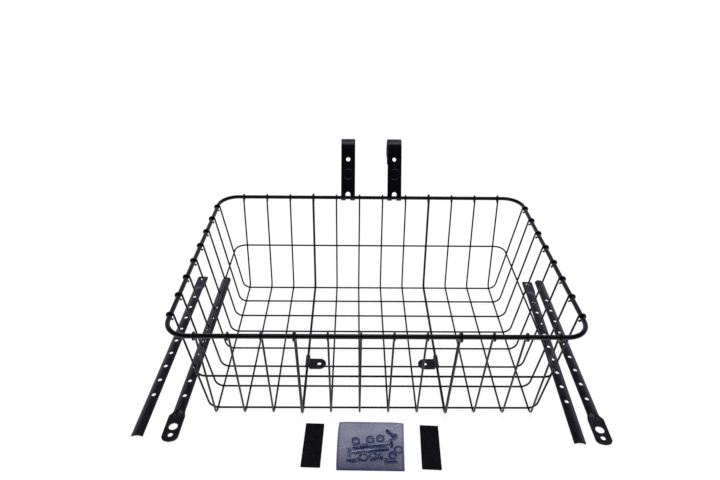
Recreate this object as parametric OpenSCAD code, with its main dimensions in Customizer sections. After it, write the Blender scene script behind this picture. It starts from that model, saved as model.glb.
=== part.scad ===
// Welded wire basket for a handlebar, laid out as it comes out of its box: two strap clamps hang
// on the rear rim, and the four leg halves, two bar pads and the bag of fasteners lie round it.
// Millimetres, +Z up, +Y towards the handlebar, everything standing or lying on the plane z = 0.

/* [Basket] */
// Length of the rim, left to right, between wire centres
rim_length = 451; // [445:0.5:457]
// Depth of the rim, front to back, between wire centres
rim_depth = 311; // [306:0.5:316]
// Height of the rim's wire centre above the table
rim_height = 150; // [145:0.5:155]
// Corner radius of the rim's centre line
rim_corner = 26; // [22:1:32]
// Length of the floor between the bends of the long wires
floor_length = 400; // [396:0.5:404]
// Depth of the floor between the bends of the cross wires
floor_depth = 260; // [256:0.5:264]
// Distance from each wire to the next, both ways
mesh_pitch = 34.925; // [34:0.025:35.5]
// Height of the middle ring's centre
ring_height = 74.5; // [70:0.5:80]
// Corner radius of the middle ring
ring_corner = 15; // [10:1:16]

/* [Wires] */
// Diameter of the rim wire
rim_wire_d = 5.3; // [5:0.1:5.6]
// Diameter of the mesh wires
mesh_wire_d = 2.4; // [2.2:0.1:2.6]
// Diameter of the two heavy cross wires that carry the leg tabs
heavy_wire_d = 3.4; // [3.2:0.1:3.6]
// Bend radius of the cross wires at the floor
cross_bend = 9; // [7:0.5:11]
// Bend radius of the long wires at the floor
long_bend = 12; // [9:0.5:14]
// How far each wire end wraps round the rim, in degrees
wrap_angle = 225; // [215:1:235]
// Depth to which crossing wires are welded into each other
weld = 0.1; // [0.05:0.05:0.15]

/* [Clamps] */
// Diameter of the handlebar that the clamps fit
bar_d = 25.4; // [22.2:0.1:26]
// Width of the strap
clamp_w = 21; // [19:0.5:23]
// Thickness of the strap
clamp_t = 1.6; // [1.4:0.1:1.8]
// Distance from the rim to the middle of the handlebar, along the strap
clamp_reach = 75.5; // [74:0.5:80]
// Distance from the rim to the clamp bolt, along the strap
clamp_bolt_at = 57.5; // [54:0.5:58]
// Diameter of the clamp bolt hole
clamp_hole_d = 6.5; // [6:0.1:6.8]
// Gap between the two ends of the strap at the bolt
clamp_gap = 2.5; // [2:0.1:3]
// Lean of the clamps away from the basket, in degrees
clamp_lean = 30; // [20:1:40]
// Distance from the middle of the basket to each clamp
clamp_x = 34.925; // [34.5:0.025:35.5]

/* [Legs] */
// Width of the arched leg strip
leg_w = 14.4; // [13.5:0.1:15]
// Height of the arch
leg_rise = 3.4; // [3:0.1:3.8]
// Thickness of the leg strip
leg_t = 1.5; // [1.3:0.1:1.6]
// Length of an upper leg, the half with a flat end for the basket
upper_leg_l = 318; // [312:1:330]
// Length of a lower leg, the half with a paddle for the axle
lower_leg_l = 321; // [319:1:330]
// Distance between the adjusting holes
leg_hole_pitch = 25; // [24.5:0.1:25.4]
// Diameter of the adjusting holes
leg_hole_d = 5.2; // [4.8:0.1:5.6]
// Width of the paddle
paddle_w = 19.6; // [18.5:0.1:21]
// Diameter of the axle hole in the paddle
axle_hole_d = 10.5; // [9.5:0.1:11]
// Diameter of the eyelet hole in the paddle
eyelet_hole_d = 6; // [5:0.1:6.2]

/* [Loose parts] */
// Length of a bar pad
pad_l = 59.5; // [56:0.5:62]
// Width of a bar pad
pad_w = 22; // [20:0.5:23]
// Thickness of a bar pad
pad_t = 2; // [1.5:0.1:2.5]
// Width of the bag
bag_w = 78; // [76:1:82]
// Length of the bag
bag_l = 66; // [64:1:70]
// Height of the filled bag
bag_h = 15; // [14.5:0.5:18]

/* [Hidden] */
CROSS_COUNT = 12;
LONG_COUNT = 8;
HEAVY_WIRES = [3, 8];
LEG_HOLES = 9;

// Middle of the basket, so that the whole layout is centred on the origin
basket_x = -1.2;
basket_y = -2;

// A bend is a hair thicker than its wire, and the straight stretches run a little way into it
bend_swell = 1.02;
run_in = 0.15;

// Wire radii, and heights of the wire centres above the table
rim_r = rim_wire_d / 2;
mesh_r = mesh_wire_d / 2;
heavy_r = heavy_wire_d / 2;
heavy_z = heavy_r * bend_swell;
cross_z = heavy_wire_d - mesh_r;
long_z = heavy_wire_d + mesh_r - weld;
tab_wire_x = (CROSS_COUNT / 2 - HEAVY_WIRES[0] - 0.5) * mesh_pitch;

// Clamp section: n runs from the basket's side of the strap to its bar side, s along the strap.
// Each bend runs bend_overlap degrees on into the next piece of the strap.
clamp_eye_r = rim_r + 0.3;
strap_n = -clamp_eye_r;
bar_n = strap_n + bar_d / 2;
tail_n = strap_n + clamp_gap;
tail_bend = 2.2;
loop_mid = bar_d / 2 + clamp_t / 2;
tail_mid = tail_bend + clamp_t / 2;
tail_centre_n = tail_n + clamp_t + tail_bend;
tail_drop = sqrt(pow(loop_mid + tail_mid, 2) - pow(bar_n - tail_centre_n, 2));
tail_centre_s = clamp_reach - tail_drop;
loop_end = atan2(-tail_drop, tail_centre_n - bar_n);
tail_below_hole = 7;
curl_end = 70;
bend_overlap = 3;
notch_w = 7;
notch_top = 8.4;

// Leg sections and hole places, measured from the rear end
arch_r = (pow(leg_w / 2, 2) + pow(leg_rise, 2)) / (2 * leg_rise);
flat_w = 16.4;
flat_l = 29;
flat_hole_at = 6.5;
flat_hole_d = 5.5;
ramp_l = 6;
upper_first_hole = flat_hole_at + 49.5;
lower_first_hole = 53;
axle_at = lower_leg_l - 21.5;
eyelet_at = lower_leg_l - 9.5;
paddle_l = 42;
paddle_shift = 1;

// Leg tab on the heavy wires
tab_t = 1.5;
tab_lift = 0.2;
tab_y = -44;
tab_w = 18.5;
tab_reach = 15.8;
tab_hole_d = 5.5;
knuckle_back = 14;
knuckle_front = 7;

// Where the loose parts lie, from the middle of the basket: [x, y of the rear end, turn]
UPPER_LEFT_AT = [-273.8, 155.2, -0.8];
LOWER_LEFT_AT = [-234, 150.7, -0.9];
UPPER_RIGHT_AT = [259.5, 145, -3.6];
LOWER_RIGHT_AT = [279.4, 147, -2];
PAD_LEFT_AT = [-71.8, -174.2, -1.9];
PAD_RIGHT_AT = [64, -177, -2.9];
BAG_AT = [-3.9, -174.5, -0.9];

// Fasteners, in the bag's own plane: [x, y, turn] of each head, nut and washer
film_t = 1;
fastener_z = film_t + 0.3;
LONG_BOLTS_AT = [[-27.3, -15, 7.5], [24.4, -1.6, 187.5]];
SHORT_BOLTS_AT = [[28.5, 6.5, 135], [12, -18.2, 197], [-13.2, -24.8, 177], [13.8, -24.8, 1]];
NUTS_AT = [[-1.5, 4.2], [10.3, 5.9], [-18.2, 1.8], [23.8, -16.8]];
WASHERS_AT = [[-9.2, -17.6], [2, -16.6], [30.8, -6.8], [-8.6, -5.6]];

black = [0.07, 0.07, 0.08];
rubber_black = [0.12, 0.12, 0.12];
zinc = [0.55, 0.62, 0.7];
film = [0.6, 0.6, 0.7];

// ---- Building blocks ----

module in_basket() {
    translate([basket_x, basket_y, 0]) children();
}

// Lays a loose part on the table, turned in its own plane
module lying(place) {
    in_basket() translate([place[0], place[1], 0]) rotate([0, 0, place[2]]) children();
}

// A straight stretch of wire along +X, which runs into the bends at its ends
module stretch(r, length, ends = 2) {
    translate([-run_in, 0, 0])
        rotate([0, 90, 0])
            cylinder(r = r, h = length + ends * run_in, $fn = 24);
}

// A bend in the XY plane that starts at the origin along +X: left for a positive angle
module elbow(r, radius, angle) {
    side = sign(angle);
    start = side > 0 ? -90 : 90 + angle;
    translate([0, side * radius, 0])
        rotate([0, 0, start])
            rotate_extrude(angle = abs(angle), $fn = 96)
                translate([radius, 0]) circle(r = r * bend_swell, $fn = 24);
}

// Puts its children at the end of such a bend
module after_bend(radius, angle) {
    translate([radius * sin(abs(angle)), sign(angle) * radius * (1 - cos(angle)), 0])
        rotate([0, 0, angle]) children();
}

// One wire of the basket in the XZ plane: floor, bend, wall, wrap over the rim, and its end
module basket_wire(r, corner, bend, rim_at) {
    wrap = rim_r + r - weld;
    to_rim = [rim_at[0] - corner[0], rim_at[1] - corner[1]];
    slope = atan2(to_rim[1], to_rim[0]) + asin(wrap / norm(to_rim));
    setback = bend * tan(slope / 2);
    wall = sqrt(pow(norm(to_rim), 2) - wrap * wrap) - setback;
    tail = (wrap * (1 - cos(wrap_angle)) - 2 * r) / -sin(wrap_angle) - r * 0.3;
    half = corner[0] - setback;
    translate([0, 0, corner[1]]) rotate([90, 0, 0]) {
        translate([-half, 0, 0]) stretch(r, 2 * half);
        for (side = [0, 1]) mirror([side, 0, 0]) translate([half, 0, 0]) {
            elbow(r, bend, slope);
            after_bend(bend, slope) {
                stretch(r, wall);
                translate([wall, 0, 0]) {
                    elbow(r, wrap, -wrap_angle);
                    after_bend(wrap, -wrap_angle) stretch(r, tail, 1);
                }
            }
        }
    }
}

// A closed ring of wire with four rounded corners, flat at height z
module wire_ring(r, length, depth, corner, z) {
    for (side = [-1, 1]) {
        translate([corner - length / 2, side * depth / 2, z])
            rotate([0, 90, 0]) cylinder(r = r, h = length - 2 * corner, $fn = 32);
        translate([side * length / 2, corner - depth / 2, z])
            rotate([-90, 0, 0]) cylinder(r = r, h = depth - 2 * corner, $fn = 32);
    }
    for (quarter = [0 : 3]) {
        across = quarter == 0 || quarter == 3 ? 1 : -1;
        along = quarter < 2 ? 1 : -1;
        translate([across * (length / 2 - corner), along * (depth / 2 - corner), z])
            rotate([0, 0, quarter * 90])
                rotate_extrude(angle = 90, $fn = 96) translate([corner, 0]) circle(r = r, $fn = 32);
    }
}

// The part of a flat ring between two angles, up to 180 degrees at a time
module ring_part(inner, outer, from, to) {
    reach = outer * 2;
    middle = (from + to) / 2;
    intersection() {
        difference() {
            circle(r = outer, $fn = 96);
            circle(r = inner, $fn = 96);
        }
        polygon([
            [0, 0],
            reach * [cos(from), sin(from)],
            reach * [cos(middle), sin(middle)] * 1.5,
            reach * [cos(to), sin(to)]
        ]);
    }
}

// ---- Basket ----

module rim() {
    color(black) in_basket() wire_ring(rim_r, rim_length, rim_depth, rim_corner, rim_height);
}

// Where a wall wire's centre line stands at the height of the middle ring
function wall_at_ring(corner, rim_at) =
    let (
        to_rim = [rim_at[0] - corner[0], rim_at[1] - corner[1]],
        slope = atan2(to_rim[1], to_rim[0]) + asin((rim_r + mesh_r - weld) / norm(to_rim))
    )
    corner[0] + (ring_height - corner[1]) / tan(slope) - (2 * mesh_r - weld) / sin(slope);

module middle_ring() {
    half_l = wall_at_ring([floor_length / 2, long_z], [rim_length / 2, rim_height]);
    half_d = wall_at_ring([floor_depth / 2, cross_z], [rim_depth / 2, rim_height]);
    color(black) in_basket() wire_ring(mesh_r, 2 * half_l, 2 * half_d, ring_corner, ring_height);
}

// A cross wire runs front to back; wire 0 is the leftmost
module cross_wire(i) {
    heavy = len(search(i, HEAVY_WIRES)) > 0;
    r = heavy ? heavy_r : mesh_r;
    z = heavy ? heavy_z : cross_z;
    corner = [floor_depth / 2 + r - mesh_r, z];
    color(black) in_basket()
        translate([(i - (CROSS_COUNT - 1) / 2) * mesh_pitch, 0, 0])
            rotate([0, 0, 90]) basket_wire(r, corner, cross_bend, [rim_depth / 2, rim_height]);
}

// A long wire runs left to right on top of the cross wires; wire 0 is the rearmost
module long_wire(i) {
    color(black) in_basket()
        translate([0, ((LONG_COUNT - 1) / 2 - i) * mesh_pitch, 0])
            basket_wire(mesh_r, [floor_length / 2, long_z], long_bend, [rim_length / 2, rim_height]);
}

// A flat eye for the leg bolt, with a knuckle that is welded over a heavy wire; made for the left
module leg_tab() {
    knuckle_r = heavy_r + tab_t;
    translate([-tab_wire_x, tab_y, 0]) {
        difference() {
            translate([0, knuckle_back, 0]) rotate([90, 0, 0])
                linear_extrude(height = knuckle_back + knuckle_front) difference() {
                    union() {
                        translate([0, heavy_z]) circle(r = knuckle_r, $fn = 48);
                        translate([-knuckle_r, tab_lift]) square([2 * knuckle_r, heavy_z - tab_lift]);
                    }
                    translate([0, heavy_z]) circle(r = heavy_r - weld, $fn = 48);
                    translate([-heavy_r + weld, tab_lift - 1])
                        square([2 * (heavy_r - weld), heavy_z - tab_lift + 1]);
                    translate([-2 * knuckle_r, tab_lift - knuckle_r]) square([4 * knuckle_r, knuckle_r]);
                }
            // The rear corner of the knuckle is cut back at a slant
            translate([knuckle_r + 0.2, knuckle_back, 0]) rotate([0, 0, 45])
                cube([5, 5, 20], center = true);
        }
        translate([0, 0, tab_lift]) linear_extrude(height = tab_t) difference() {
            union() {
                translate([heavy_r + tab_t / 2, -tab_w / 2]) square([tab_reach - heavy_r - tab_t / 2, tab_w]);
                translate([tab_reach, 0]) circle(d = tab_w, $fn = 64);
            }
            translate([tab_reach, 0]) circle(d = tab_hole_d, $fn = 48);
        }
    }
}

module leg_tab_left() {
    color(black) in_basket() leg_tab();
}

module leg_tab_right() {
    color(black) in_basket() mirror([1, 0, 0]) leg_tab();
}

// ---- Clamps ----

module clamp_section() {
    curl_r = clamp_eye_r + clamp_t;
    // Front ply, and the curl that grips the rim
    difference() {
        union() {
            circle(r = curl_r, $fn = 96);
            translate([strap_n - clamp_t, 0]) square([clamp_t, clamp_reach]);
        }
        circle(r = clamp_eye_r, $fn = 96);
        polygon([
            [0, 0],
            [strap_n, 0],
            [strap_n, 2 * curl_r],
            2 * curl_r * [cos(curl_end), sin(curl_end)]
        ]);
    }
    // Loop round the handlebar
    translate([bar_n, clamp_reach]) {
        ring_part(bar_d / 2, bar_d / 2 + clamp_t, 45, 180 + bend_overlap);
        ring_part(bar_d / 2, bar_d / 2 + clamp_t, loop_end - bend_overlap, 46);
    }
    // Bend back into the rear ply
    translate([tail_centre_n, tail_centre_s])
        ring_part(tail_bend, tail_bend + clamp_t, loop_end + 180 - bend_overlap, 180 + 2 * bend_overlap);
    translate([tail_n, clamp_bolt_at - tail_below_hole])
        square([clamp_t, tail_centre_s - clamp_bolt_at + tail_below_hole]);
}

module clamp_strap() {
    through = 40;
    translate([-clamp_w / 2, 0, 0]) rotate([90, 0, 90]) difference() {
        linear_extrude(height = clamp_w) clamp_section();
        // Bolt hole through both plies
        translate([-through / 2, clamp_bolt_at, clamp_w / 2])
            rotate([0, 90, 0]) cylinder(d = clamp_hole_d, h = through, $fn = 48);
        // Notch that leaves two fingers, with an arched top
        translate([-through / 2, notch_top - notch_w / 2, clamp_w / 2])
            rotate([0, 90, 0]) cylinder(d = notch_w, h = through, $fn = 48);
        translate([-through / 2, -through + notch_top - notch_w / 2, (clamp_w - notch_w) / 2])
            cube([through, through, notch_w]);
    }
}

module clamp_at(x) {
    color(black) in_basket()
        translate([x, rim_depth / 2, rim_height]) rotate([-clamp_lean, 0, 0]) clamp_strap();
}

module clamp_left() {
    clamp_at(-clamp_x);
}

module clamp_right() {
    clamp_at(clamp_x);
}

// ---- Legs: each runs from its rear end at the origin along -Y ----

// The arched strip between two distances from the rear end
module arch(from, to) {
    translate([0, -from, 0]) rotate([90, 0, 0]) linear_extrude(height = to - from)
        intersection() {
            translate([0, leg_rise - arch_r]) difference() {
                circle(r = arch_r, $fn = 96);
                circle(r = arch_r - leg_t, $fn = 96);
            }
            translate([-leg_w, 0]) square([2 * leg_w, leg_rise * 2]);
        }
}

// The solid wedge where the arch is pressed flat, rising from one distance to the other
module ramp(flat_at, arch_at) {
    intersection() {
        translate([-leg_w, 0, 0]) rotate([90, 0, 90]) linear_extrude(height = 2 * leg_w)
            polygon([[-flat_at, 0], [-flat_at, leg_t], [-arch_at, leg_rise], [-arch_at, 0]]);
        translate([0, leg_w * 50, 0]) rotate([90, 0, 0]) linear_extrude(height = leg_w * 100)
            intersection() {
                translate([0, leg_rise - arch_r]) circle(r = arch_r, $fn = 96);
                translate([-leg_w, 0]) square([2 * leg_w, leg_rise * 2]);
            }
    }
}

module adjusting_holes(first) {
    for (i = [0 : LEG_HOLES - 1])
        translate([0, -first - i * leg_hole_pitch, -1])
            cylinder(d = leg_hole_d, h = leg_rise + 2, $fn = 32);
}

// A rectangle from the origin along -Y with rounded corners at one end or both
module strip_outline(w, l, rear_r, front_r) {
    for (side = [-1, 1]) {
        translate([side * (w / 2 - rear_r), -rear_r]) circle(r = rear_r, $fn = 48);
        translate([side * (w / 2 - front_r), front_r - l]) circle(r = front_r, $fn = 48);
    }
    translate([rear_r - w / 2, -l / 2]) square([w - 2 * rear_r, l / 2]);
    translate([front_r - w / 2, -l]) square([w - 2 * front_r, l / 2 + 0.01]);
    translate([-w / 2, front_r - l]) square([w, l - front_r - rear_r]);
}

module upper_leg() {
    corner = 3;
    difference() {
        union() {
            linear_extrude(height = leg_t) strip_outline(flat_w, flat_l + ramp_l / 2, corner, 1);
            ramp(flat_l, flat_l + ramp_l);
            arch(flat_l + ramp_l, upper_leg_l);
        }
        translate([0, -flat_hole_at, -1]) cylinder(d = flat_hole_d, h = leg_t + 2, $fn = 48);
        adjusting_holes(upper_first_hole);
    }
}

// The paddle stands out further on one side; made for the left, where that is -X
module lower_leg() {
    rear_corner = 5.5;
    tip_corner = 7;
    paddle_at = lower_leg_l - paddle_l;
    difference() {
        union() {
            intersection() {
                arch(0, paddle_at - ramp_l / 2);
                linear_extrude(height = leg_rise + 1)
                    strip_outline(leg_w + 0.2, lower_leg_l, rear_corner, 1);
            }
            ramp(paddle_at + ramp_l / 2, paddle_at - ramp_l / 2);
            translate([-paddle_shift, -paddle_at, 0]) linear_extrude(height = leg_t)
                strip_outline(paddle_w, paddle_l, 4, tip_corner);
        }
        adjusting_holes(lower_first_hole);
        translate([-paddle_shift, -axle_at, -1]) cylinder(d = axle_hole_d, h = leg_t + 2, $fn = 64);
        translate([-paddle_shift, -eyelet_at, -1]) cylinder(d = eyelet_hole_d, h = leg_t + 2, $fn = 48);
    }
}

module upper_leg_left() {
    color(black) lying(UPPER_LEFT_AT) upper_leg();
}

module lower_leg_left() {
    color(black) lying(LOWER_LEFT_AT) lower_leg();
}

module upper_leg_right() {
    color(black) lying(UPPER_RIGHT_AT) upper_leg();
}

module lower_leg_right() {
    color(black) lying(LOWER_RIGHT_AT) mirror([1, 0, 0]) lower_leg();
}

// ---- Loose parts ----

module bar_pad() {
    translate([0, pad_l / 2, 0]) linear_extrude(height = pad_t) strip_outline(pad_w, pad_l, 1.5, 1.5);
}

module bar_pad_left() {
    color(rubber_black) lying(PAD_LEFT_AT) bar_pad();
}

module bar_pad_right() {
    color(rubber_black) lying(PAD_RIGHT_AT) bar_pad();
}

// A pillow that narrows towards its top
module pillow(inset) {
    top_inset = 8;
    bottom_h = 2;
    hull() {
        translate([inset - bag_w / 2, inset - bag_l / 2, inset])
            cube([bag_w - 2 * inset, bag_l - 2 * inset, bottom_h - inset]);
        translate([top_inset - bag_w / 2, top_inset - bag_l / 2, bottom_h])
            cube([bag_w - 2 * top_inset, bag_l - 2 * top_inset, bag_h - bottom_h - inset]);
    }
}

module parts_bag() {
    color(film, 0.5) lying(BAG_AT) difference() {
        pillow(0);
        pillow(film_t);
    }
}

// A hexagon bolt lying along +X from the outer face of its head
module hex_bolt(d, length, head_af, head_k) {
    head_r = head_af / sqrt(3);
    translate([0, 0, fastener_z + head_af / 2]) rotate([0, 90, 0]) {
        rotate([0, 0, 30]) cylinder(r = head_r, h = head_k, $fn = 6);
        cylinder(d = d, h = head_k + length, $fn = 32);
    }
}

module long_bolts() {
    color(zinc) lying(BAG_AT) for (at = LONG_BOLTS_AT)
        translate([at[0], at[1], 0]) rotate([0, 0, at[2]]) hex_bolt(6, 43, 10, 4);
}

module short_bolts() {
    color(zinc) lying(BAG_AT) for (at = SHORT_BOLTS_AT)
        translate([at[0], at[1], 0]) rotate([0, 0, at[2]]) hex_bolt(5, 12, 8, 3.5);
}

module hex_nuts() {
    color(zinc) lying(BAG_AT) for (at = NUTS_AT) translate([at[0], at[1], fastener_z]) difference() {
        cylinder(r = 10 / sqrt(3), h = 5, $fn = 6);
        translate([0, 0, -1]) cylinder(d = 6, h = 7, $fn = 32);
    }
}

module washers() {
    color(zinc) lying(BAG_AT) for (at = WASHERS_AT) translate([at[0], at[1], fastener_z]) difference() {
        cylinder(d = 11, h = 1.2, $fn = 48);
        translate([0, 0, -1]) cylinder(d = 6.4, h = 4, $fn = 48);
    }
}

rim();
middle_ring();
cross_wire(0);  // cross_wire_01
cross_wire(1);  // cross_wire_02
cross_wire(2);  // cross_wire_03
cross_wire(3);  // cross_wire_04
cross_wire(4);  // cross_wire_05
cross_wire(5);  // cross_wire_06
cross_wire(6);  // cross_wire_07
cross_wire(7);  // cross_wire_08
cross_wire(8);  // cross_wire_09
cross_wire(9);  // cross_wire_10
cross_wire(10);  // cross_wire_11
cross_wire(11);  // cross_wire_12
long_wire(0);  // long_wire_1
long_wire(1);  // long_wire_2
long_wire(2);  // long_wire_3
long_wire(3);  // long_wire_4
long_wire(4);  // long_wire_5
long_wire(5);  // long_wire_6
long_wire(6);  // long_wire_7
long_wire(7);  // long_wire_8
leg_tab_left();
leg_tab_right();
clamp_left();
clamp_right();
upper_leg_left();
lower_leg_left();
lower_leg_right();
upper_leg_right();
bar_pad_left();
bar_pad_right();
parts_bag();
long_bolts();
short_bolts();
hex_nuts();
washers();
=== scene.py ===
"""Looks of the wire handlebar basket and of the loose parts that lie round it, in metres."""

import math
import random
from collections import namedtuple

import bmesh
import bpy
import numpy as np
from mathutils import Matrix, Vector, geometry


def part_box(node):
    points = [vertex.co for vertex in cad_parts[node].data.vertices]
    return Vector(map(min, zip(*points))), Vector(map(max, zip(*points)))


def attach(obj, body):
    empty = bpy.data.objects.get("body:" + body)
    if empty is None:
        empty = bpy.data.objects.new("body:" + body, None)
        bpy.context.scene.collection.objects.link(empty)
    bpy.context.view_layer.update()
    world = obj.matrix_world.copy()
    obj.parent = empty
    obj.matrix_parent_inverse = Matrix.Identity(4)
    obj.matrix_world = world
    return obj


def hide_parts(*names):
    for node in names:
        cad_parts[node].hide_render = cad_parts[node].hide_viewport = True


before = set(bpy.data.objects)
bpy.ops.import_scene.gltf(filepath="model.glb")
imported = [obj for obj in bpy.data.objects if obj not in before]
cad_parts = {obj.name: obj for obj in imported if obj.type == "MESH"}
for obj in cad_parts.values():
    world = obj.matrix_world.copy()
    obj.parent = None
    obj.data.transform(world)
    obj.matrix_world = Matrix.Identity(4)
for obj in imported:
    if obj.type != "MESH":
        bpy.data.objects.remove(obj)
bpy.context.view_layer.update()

MM = 0.001
BASKET = "basket"
random.seed(7)
grain = np.random.default_rng(7)

# ---- Driving dimensions, as in the CAD source ----

MESH_PITCH = 34.925 * MM
CROSS_COUNT, LONG_COUNT = 12, 8
HEAVY_WIRES = (3, 8)
FLOOR_LENGTH, FLOOR_DEPTH = 400 * MM, 260 * MM
MESH_R, HEAVY_R = 1.2 * MM, 1.7 * MM
CROSS_BEND, LONG_BEND = 9 * MM, 12 * MM
RIM_CORNER, RING_CORNER = 26 * MM, 15 * MM
WRAP_TURN = math.radians(225)
WELD = 0.1 * MM
BEND_SWELL = 1.02

RIM_LOW, RIM_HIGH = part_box("rim")
RIM_R = (RIM_HIGH.z - RIM_LOW.z) / 2
RIM_Z = (RIM_HIGH.z + RIM_LOW.z) / 2
RIM_HALF_X = (RIM_HIGH.x - RIM_LOW.x) / 2 - RIM_R
RIM_HALF_Y = (RIM_HIGH.y - RIM_LOW.y) / 2 - RIM_R
RING_LOW, RING_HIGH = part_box("middle_ring")
RING_R = (RING_HIGH.z - RING_LOW.z) / 2
RING_Z = (RING_HIGH.z + RING_LOW.z) / 2
RING_HALF_X = (RING_HIGH.x - RING_LOW.x) / 2 - RING_R
RING_HALF_Y = (RING_HIGH.y - RING_LOW.y) / 2 - RING_R
CENTRE = Vector(((RIM_LOW.x + RIM_HIGH.x) / 2, (RIM_LOW.y + RIM_HIGH.y) / 2, 0))

HEAVY_Z = HEAVY_R * BEND_SWELL
CROSS_Z = 2 * HEAVY_R - MESH_R
LONG_Z = 2 * HEAVY_R + MESH_R - WELD
LONG_CORNER = (FLOOR_LENGTH / 2, LONG_Z)
CROSS_X = [CENTRE.x + (i - (CROSS_COUNT - 1) / 2) * MESH_PITCH for i in range(CROSS_COUNT)]
LONG_Y = [CENTRE.y + ((LONG_COUNT - 1) / 2 - i) * MESH_PITCH for i in range(LONG_COUNT)]


# ---- Mesh helpers ----

def new_object(name, verts, faces, body, material):
    """A smooth mesh object that rides on a body."""
    mesh = bpy.data.meshes.new(name)
    mesh.from_pydata([tuple(v) for v in verts], [], faces)
    mesh.validate()
    mesh.update()
    mesh.polygons.foreach_set("use_smooth", [True] * len(mesh.polygons))
    obj = bpy.data.objects.new(name, mesh)
    bpy.context.scene.collection.objects.link(obj)
    mesh.materials.append(material)
    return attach(obj, body)


def turn_out(obj):
    """Makes the faces of a closed mesh look outwards."""
    made = bmesh.new()
    made.from_mesh(obj.data)
    bmesh.ops.recalc_face_normals(made, faces=made.faces)
    made.to_mesh(obj.data)
    made.free()


def soften(obj, width):
    """Rounds the sharp edges of a piece."""
    bevel = obj.modifiers.new("soft_edges", "BEVEL")
    bevel.width = width
    bevel.segments = 2
    bevel.limit_method = "ANGLE"
    bevel.angle_limit = math.radians(50)
    bevel.use_clamp_overlap = True


def turns(sides):
    """The directions of the vertices round a ring."""
    return [2 * math.pi * k / sides for k in range(sides)]


def ring_faces(rings, sides, closed):
    """Faces between neighbouring rings of vertices. Closed joins the last ring to the first; otherwise
    both ends are capped."""
    faces = []
    for i in range(rings if closed else rings - 1):
        j = (i + 1) % rings
        for k in range(sides):
            m = (k + 1) % sides
            faces.append((i * sides + k, i * sides + m, j * sides + m, j * sides + k))
    if not closed:
        faces.append(tuple(reversed(range(sides))))
        faces.append(tuple(range((rings - 1) * sides, rings * sides)))
    return faces


# The domed end of a wire: how far past its end, and how wide, in radii
DOME = ((0.3, 0.96), (0.45, 0.8), (0.52, 0.45))


def tube(path, radius, sides=20, closed=False):
    """A round tube along a path, with slightly domed ends. Returns its vertices and faces."""
    points = [Vector(p) for p in path]
    count = len(points)
    normal = None
    rings = []
    for i, p in enumerate(points):
        before = points[i - 1] if i or closed else p
        after = points[(i + 1) % count] if i < count - 1 or closed else p
        along = (after - before).normalized()
        if normal is None:
            normal = along.orthogonal().normalized()
        normal = (normal - along * normal.dot(along)).normalized()
        rings.append((p, along, normal.copy(), along.cross(normal), 1.0))
    if not closed:
        first, last = rings[0], rings[-1]
        rings = [(first[0] - first[1] * radius * d, *first[1:4], w) for d, w in reversed(DOME)] + rings
        rings += [(last[0] + last[1] * radius * d, *last[1:4], w) for d, w in DOME]
    verts = [p + (a * math.cos(turn) + b * math.sin(turn)) * radius * wide
             for p, _, a, b, wide in rings for turn in turns(sides)]
    return verts, ring_faces(len(rings), sides, closed)


def joined(parts):
    """Several (vertices, faces) pairs as one."""
    verts, faces = [], []
    for part_verts, part_faces in parts:
        shift = len(verts)
        verts += list(part_verts)
        faces += [tuple(i + shift for i in f) for f in part_faces]
    return verts, faces


def lathe(profile, sides):
    """A closed solid of revolution about +X, from (x, radius) pairs that start and end on the axis."""
    verts = [Vector((profile[0][0], 0, 0))]
    verts += [Vector((x, r * math.cos(turn), r * math.sin(turn)))
              for x, r in profile[1:-1] for turn in turns(sides)]
    verts.append(Vector((profile[-1][0], 0, 0)))
    rows = len(profile) - 2
    faces = []
    for k in range(sides):
        m = (k + 1) % sides
        faces.append((0, 1 + m, 1 + k))
        for i in range(rows - 1):
            low, high = 1 + i * sides, 1 + (i + 1) * sides
            faces.append((low + k, low + m, high + m, high + k))
        last = 1 + (rows - 1) * sides
        faces.append((len(verts) - 1, last + k, last + m))
    return verts, faces


def arc(centre, radius, start, end, steps):
    """Points on an arc in a plane, angles in radians, both ends included."""
    return [(centre[0] + radius * math.cos(start + (end - start) * i / steps),
             centre[1] + radius * math.sin(start + (end - start) * i / steps)) for i in range(steps + 1)]


def circle(centre, radius, steps):
    """Points round a whole circle, none of them twice."""
    return arc(centre, radius, 0, 2 * math.pi, steps)[:-1]


def ease(t):
    """Smooth way from 0 at t = 0 to 1 at t = 1, level outside."""
    t = min(1.0, max(0.0, t))
    return t * t * (3 - 2 * t)


def inside(point, outline):
    """Whether a point in the plane is inside a closed outline."""
    x, y = point
    hit = False
    for (ax, ay), (bx, by) in zip(outline, outline[1:] + outline[:1]):
        if (ay > y) != (by > y) and x < (bx - ax) * (y - ay) / (by - ay) + ax:
            hit = not hit
    return hit


def on_sheet(point, border, holes):
    """Whether a point is inside the border and outside the round holes, a hair's breadth allowed."""
    return inside(point, border) and all(math.dist(point, h[:2]) > h[2] * 0.999 for h in holes)


def spaced(outline, pitch):
    """The outline with its long stretches divided."""
    result = []
    for a, b in zip(outline, outline[1:] + outline[:1]):
        steps = max(1, round(math.dist(a, b) / pitch))
        result += [(a[0] + (b[0] - a[0]) * i / steps, a[1] + (b[1] - a[1]) * i / steps) for i in range(steps)]
    return result


HOLE_SIDES = 28


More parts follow.
